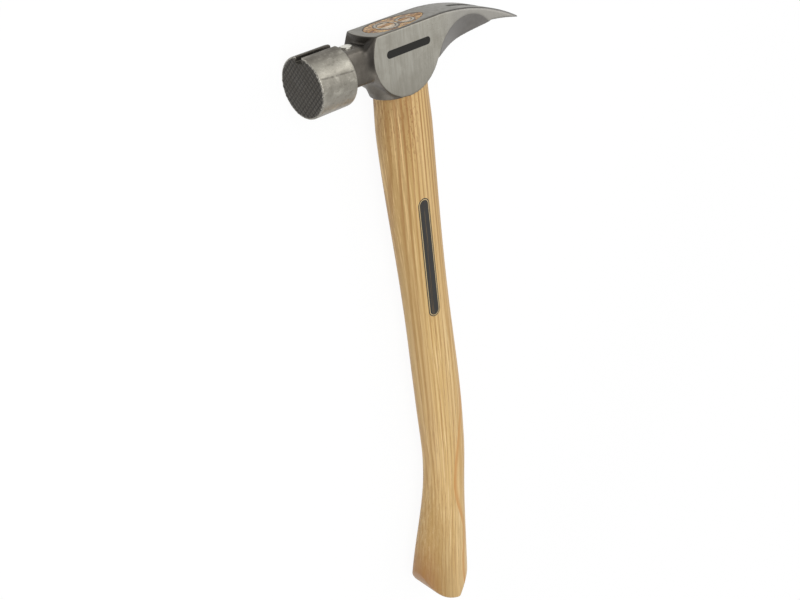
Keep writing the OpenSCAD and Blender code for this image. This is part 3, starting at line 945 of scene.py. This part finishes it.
def end_grain(f):
    """Wood sawn across in the eye: oiled brown round the rings and paler inside them, with painted shade in
    the gaps at the rings' edges.
    """
    patch = f.noise((0.30, 0.26, 0.5), 3, 0.6)
    streak = f.noise((0.3, 0.28, 1.1), 4, 0.7)
    wood = f.blend(f.step(patch, 0.40, 0.58), paint(112, 70, 36), paint(198, 156, 88))
    wood = f.blend(f.step(streak, 0.48, 0.57, 0, 0.85), wood, paint(84, 50, 30))
    wood = f.blend(f.step(streak, 0.44, 0.34, 0, 0.7), wood, paint(214, 186, 138))
    core = f.blend(f.step(streak, 0.4, 0.65), paint(196, 178, 152), paint(150, 122, 92))
    for (y, z), inner_r in wedge_rings:
        reach = f.distance(f.calc("SUBTRACT", f.y, y), f.calc("SUBTRACT", f.z, z))
        wood = f.blend(f.step(reach, inner_r, inner_r - 0.3), wood, core)
        for edge in (inner_r, inner_r + wedge_wall):
            # Painted shade in the gaps at the inner and outer edges of each ring wedge.
            gap_shade = f.step(f.calc("ABSOLUTE", f.calc("SUBTRACT", reach, edge)), *gap_shade_halves)
            gap_shade = f.product(gap_shade, f.step(patch, 0.3, 0.5, 0.4, 1.0))
            wood = f.blend(gap_shade, wood, paint(46, 36, 28))
    return wood


def plain_mark(f):
    """Shares of dark print and of its pale line: a plain bar with round ends on the near side."""
    along_bar = f.calc("SUBTRACT", f.x, mark_middle[0])
    shift = f.product(along_bar, mark_slope)
    across_bar = f.calc("SUBTRACT", f.calc("SUBTRACT", f.y, mark_middle[1]), shift)
    reach = bar_reach(f, along_bar, across_bar, mark_half_length, mark_half_width)
    near = f.step(f.z, *mark_z)
    bar = f.product(f.step(reach, mark_half_width, mark_half_width - print_softness), near)
    outer, inner = (
        f.step(reach, mark_half_width - start, mark_half_width - end) for start, end in line_insets
    )
    return bar, f.product(f.product(outer, inner), near)


print("printed bar:", 2 * mark_half_length, "by", 2 * mark_half_width, "mm")

# %% [markdown]
# The finish of the handle puts it together: pale and dark bands first, then the rings, fine
# fibres and open pores, the arches on the wrist, painted shade on the rear edge, the dark
# patches with painted shade on the front edge, the print and the end grain. A thin clear coat on
# top gives the wood the soft shine of rubbed oil.

# %% Hickory
near_head_x = (-150.0, -60.0)
arch_line = (-12.5, 13.4)
arch_x = (-235.0, -275.0)
rear_shade_y = (-2.0, -17.0)
end_x = (-1.2, -0.5)


def hickory():
    f = Finish("hickory", roughness=0.5)
    across, point = bent_grain(f)
    late, through = growth_rings(f, across, point)
    fibre = f.noise((0.012, 1.3, 1.3), 4, 0.65, point=point)
    broad = f.noise((0.004, 0.09, 0.09), 3, 0.5, point=point)
    pore = f.noise((0.10, 3.2, 3.2), 2, 0.5, point=point)
    line = f.noise((0.002, 0.85, 0.85), 4, 0.65, point=point)

    wood = f.blend(f.step(broad, 0.35, 0.65), paint(202, 168, 108), paint(216, 185, 129))
    late_share = f.product(late, f.step(f.x, *near_head_x, 0.66, 0.92))
    wood = f.blend(late_share, wood, paint(168, 122, 64))
    wood = f.blend(f.step(line, 0.47, 0.36, 0, 0.7), wood, paint(232, 206, 156))
    wood = f.blend(f.step(line, 0.54, 0.64, 0, 0.6), wood, paint(166, 124, 68))
    wood = f.blend(f.step(fibre, 0.48, 0.72, 0, 0.5), wood, paint(164, 124, 70))
    pores = f.product(f.step(pore, 0.56, 0.66), f.step(through, 0.6, 0.9, 0.2, 0.6))
    wood = f.blend(pores, wood, paint(130, 94, 52))
    arch = f.calc("SUBTRACT", across, f.calc("MULTIPLY_ADD", arch_shift(f), arch_line[1], arch_line[0]))
    arch = f.product(f.step(arch, 0.6, 0.0), f.step(arch, -4.6, -1.0))
    arch = f.product(arch, f.step(fibre, 0.3, 0.6, 0.95, 0.6))
    wood = f.blend(f.product(arch, f.step(f.x, *arch_x)), wood, paint(190, 132, 62))
    # Painted shade, light, along the rear edge of the handle.
    wood = f.blend(f.step(f.y, *rear_shade_y, 0, 0.25), wood, paint(184, 142, 80))
    wood = upper_lines(f, dark_patches_and_shade(f, wood), late, line)

    bar, pale_line = plain_mark(f)
    worn = f.step(fibre, 0.60, 0.70, 1.0, 0.7)
    wood = f.blend(f.product(bar, worn), wood, paint(28, 26, 23))
    wood = f.blend(f.product(pale_line, worn), wood, paint(196, 172, 124))
    wood = f.blend(f.step(f.x, *end_x), wood, end_grain(f))
    f.use(Coat_Weight=0.15, Coat_Roughness=0.3)
    rough = f.step(fibre, 0.3, 0.7, 0.42, 0.56)
    return f.use(Base_Color=wood, Roughness=rough, Normal=f.bump(fibre, 0.05))


handle_finish = hickory()
print("nodes in the handle's finish:", len(handle_finish.node_tree.nodes))

# %% [markdown]
# The butt of a hammer handle is cut at a slant, rounded from toe to heel, and its rim is sanded
# soft, so that it does not bruise the hand. The lines of the loft could all stop at one level and
# be cut off, but here each line finds for itself where it meets the end face, and the last rings
# are then carried round the rim. That keeps every ring whole, with no cut to close.

# %% Butt
butt_slant = 39.5
butt_r = 56.0
heel_bevel = (18.5, 18.0)
straight_share = 0.82
rim_r = 1.4

toe_share = 1 - butt_slant / overall_length
toe = (-overall_length + butt_slant, middle_y(toe_share) + along(toe_share, widths) / 2)
back_y = middle_y(1) - widths["butt"] / 2
heel = (-overall_length, back_y + heel_bevel[1])


def butt_centre():
    """Centre of the arc that rounds the butt from toe to heel."""
    dx, dy = heel[0] - toe[0], heel[1] - toe[1]
    chord = math.hypot(dx, dy)
    height = math.sqrt(butt_r ** 2 - chord ** 2 / 4)
    return ((toe[0] + heel[0]) / 2 - dy / chord * height, (toe[1] + heel[1]) / 2 + dx / chord * height)


arc_x, arc_y = butt_centre()


def butt_x(y):
    """Level of the butt's end face at a place from front to back."""
    arc = arc_x - math.sqrt(max(butt_r ** 2 - (y - arc_y) ** 2, 0))
    bevel = heel[0] + (heel[1] - y) * heel_bevel[0] / heel_bevel[1]
    return max(arc, bevel)


def end_share(angle):
    """Share of the length at which one line along the handle meets the rounded rim."""
    low, high = straight_share, 1.0
    for _ in range(40):
        middle = (low + high) / 2
        point = outline_point(middle, angle)
        if point.x > butt_x(point.y) + rim_r:
            low = middle
        else:
            high = middle
    return low


def rim_ring(points, turn):
    """The outline of the butt carried round its soft rim: 0 on the sides, 1 on the end face."""
    inset = rim_r * (1 - math.cos(turn * math.pi / 2))
    back = rim_r * (1 - math.sin(turn * math.pi / 2))
    half_w = (max(p.y for p in points) - min(p.y for p in points)) / 2
    middle = (max(p.y for p in points) + min(p.y for p in points)) / 2
    half_t = max(p.z for p in points)
    ring = []
    for p in points:
        y = middle + (p.y - middle) * (1 - inset / half_w)
        ring.append(Vector((butt_x(y) + back, y, p.z * (1 - inset / half_t))))
    return ring


print("toe at", [round(v, 1) for v in toe], "and heel at", [round(v, 1) for v in heel])

# %% [markdown]
# A loft in Blender starts as a circle of edges. Extruding the circle gives a new one joined to
# it by faces, and moving the new vertices shapes it, ring after ring. The two open ends are
# closed with strips from one side to the other, which stay smooth over the crease of the heel,
# where a fan from the middle would not.

# %% Loft helpers


def next_ring(shape, ring, places):
    """Extrude a closed ring of edges and put the new ring's vertices at the places."""
    edges = [shape.edges.get((ring[i], ring[(i + 1) % len(ring)])) for i in range(len(ring))]
    grown = bmesh.ops.extrude_edge_only(shape, edges=edges)["geom"]
    new_verts = {v for v in grown if isinstance(v, bmesh.types.BMVert)}
    above = [next(e.other_vert(v) for e in v.link_edges if e.other_vert(v) in new_verts) for v in ring]
    for v, place in zip(above, places):
        v.co = place
    for face in grown:
        if isinstance(face, bmesh.types.BMFace):
            face.smooth = True
    return above


def loft(shape, rings):
    """A closed skin through rings of places that all run the same way round from the front."""
    first = list(bmesh.ops.create_circle(shape, segments=len(rings[0]), radius=1)["verts"])
    for v, place in zip(first, rings[0]):
        v.co = place
    last = first
    for places in rings[1:]:
        last = next_ring(shape, last, places)
    for end in (first, last):
        for i in range(len(end) // 2):
            strip = dict.fromkeys((end[i], end[i + 1], end[-i - 1], end[-i]))
            bmesh.ops.contextual_create(shape, geom=list(strip))
    print("loft of", len(rings), "rings with", len(rings[0]), "points each")


# %% [markdown]
# The body of the handle takes a ring for every few millimetres, square to the handle line. In
# the flare of the butt the rings slant more and more, until the last lies on the rounded rim.

# %% Handle body
around = 96
body_steps = 84
body_top_share = 0.05
end_steps = 14
rim_steps = 4

angles = [2 * math.pi * i / around for i in range(around)]
ends = [end_share(angle) for angle in angles]
body_rings = []
for step in range(body_steps):
    share = body_top_share + (straight_share - body_top_share) * step / body_steps
    body_rings.append([outline_point(share, angle) for angle in angles])
for step in range(end_steps + 1):
    part = step / end_steps
    body_rings.append([
        outline_point(straight_share + (end - straight_share) * part, angle)
        for angle, end in zip(angles, ends)
    ])
side_ring = body_rings[-1]
for step in range(1, rim_steps + 1):
    body_rings.append(rim_ring(side_ring, step / rim_steps))

handle_shape = bmesh.new()
loft(handle_shape, body_rings)

# %% [markdown]
# The tongue is the part of the handle that is forced into the eye of the head. It is an egg
# shape that gets narrower downwards, so that the wedges can lock it, and stays a hair inside the
# eye's walls. Its lower end is hidden inside the body, where the two lofts overlap.

# %% Tongue in the eye
eye_top = (44.0, 19.8)
eye_rim = (38.0, 18.6)
eye_egg = 0.24
eye_depth = 39.8
eye_steps = ((0.15, 0.5), (0.3, 0.2), (0.8, 0.1), (20, 0.1), (41, 0.1))


def eye_ring(depth, gap):
    """Outline of the tongue at a depth, with a gap to the wall of the eye."""
    share = depth / eye_depth
    half_l = (eye_top[0] + (eye_rim[0] - eye_top[0]) * share) / 2 - gap
    half_w = (eye_top[1] + (eye_rim[1] - eye_top[1]) * share) / 2 - gap
    return [
        Vector((-depth, eye_fwd + half_l * math.cos(a), half_w * math.sin(a) * (1 + eye_egg * math.cos(a))))
        for a in angles
    ]


loft(handle_shape, [eye_ring(depth, gap) for depth, gap in eye_steps])
bmesh.ops.recalc_face_normals(handle_shape, faces=handle_shape.faces)
bmesh.ops.transform(handle_shape, matrix=to_frame, verts=handle_shape.verts)
print("handle faces:", len(handle_shape.faces))
handle = new_piece("hickory_handle", handle_shape, handle_finish)
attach(handle, "root")
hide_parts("handle")

# %% [markdown]
# The wedges that spread the wood in the eye, and the magnet that holds a nail, keep their CAD
# shapes. They need only a finish: pale wood for the saw-cut wedge, grey steel for the rings and
# bright nickel for the magnet.


# %% Wedges and magnet
def wedge_wood():
    f = Finish("wedge_wood", roughness=0.6)
    fibre = f.noise((0.5, 0.4, 3.0), 4, 0.6)
    wood = f.blend(f.step(fibre, 0.35, 0.6), paint(186, 148, 96), paint(116, 78, 44))
    return f.use(Base_Color=wood, Normal=f.bump(fibre, 0.05))


def ring_steel():
    f = Finish("ring_steel", metallic=0.9, roughness=0.42)
    cloud = f.noise((0.8, 0.8, 0.8), 4, 0.6)
    steel = f.blend(f.step(cloud, 0.38, 0.62), paint(122, 114, 98), paint(186, 182, 170))
    return f.use(Base_Color=steel, Normal=f.bump(cloud, 0.04))


def magnet_nickel():
    f = Finish("magnet_nickel", metallic=0.9, roughness=0.3)
    cloud = f.noise((0.4, 0.4, 0.4), 3, 0.5)
    nickel = f.blend(f.step(cloud, 0.3, 0.7), paint(206, 204, 194), paint(220, 218, 208))
    return f.use(Base_Color=nickel, Roughness=f.step(cloud, 0.3, 0.7, 0.32, 0.4))


steel_of_rings = ring_steel()
finishes = {
    "kerf_wedge": wedge_wood(),
    "front_ring_wedge": steel_of_rings,
    "rear_ring_wedge": steel_of_rings,
    "nail_magnet": magnet_nickel(),
}
for node, finish in finishes.items():
    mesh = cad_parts[node].data
    mesh.materials.clear()
    mesh.materials.append(finish)
print("finished CAD nodes:", sorted(finishes))

# %% [markdown]
# Last, the colours are shown as they are.

# %% Finish
scene.view_settings.view_transform = "Standard"
